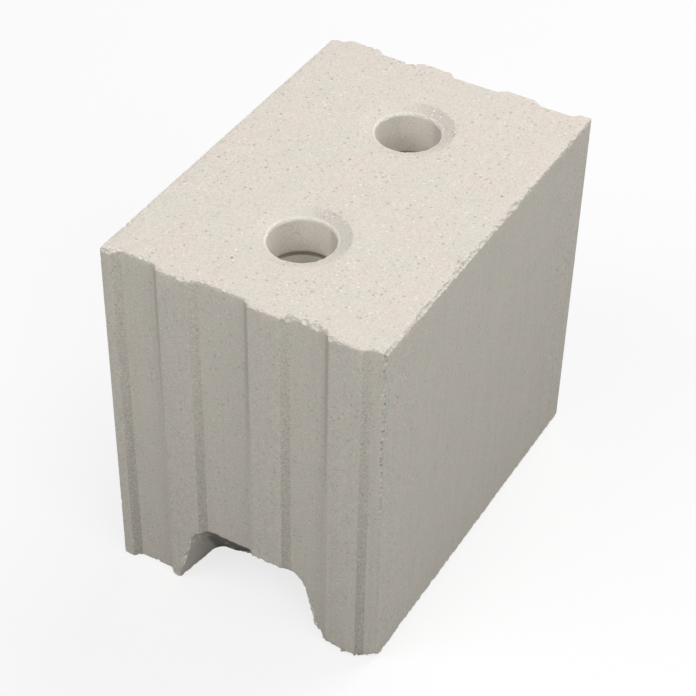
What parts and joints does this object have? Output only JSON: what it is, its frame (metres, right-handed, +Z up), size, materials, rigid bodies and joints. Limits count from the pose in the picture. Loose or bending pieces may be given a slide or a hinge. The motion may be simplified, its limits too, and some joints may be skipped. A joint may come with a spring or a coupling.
{
  "type": "perforated calcium silicate block",
  "caption": "Pressed calcium silicate wall block with tongued and grooved ends, round necked holes down through the beds and a grip pocket under each end.",
  "frame": {"origin": "middle of the bottom bed, on the level of the floor that the block stands on", "axes": "+X along the length, from the toothed end with the shorter hole neck to the other; +Y across the width, square to the smooth sides; +Z up"},
  "size_m": [0.252, 0.175, 0.238],
  "materials": {
    "calcium_silicate": "matte, fine sandy grain"
  },
  "bodies": {
    "root": {"block": "calcium_silicate"}
  },
  "joints": []
}
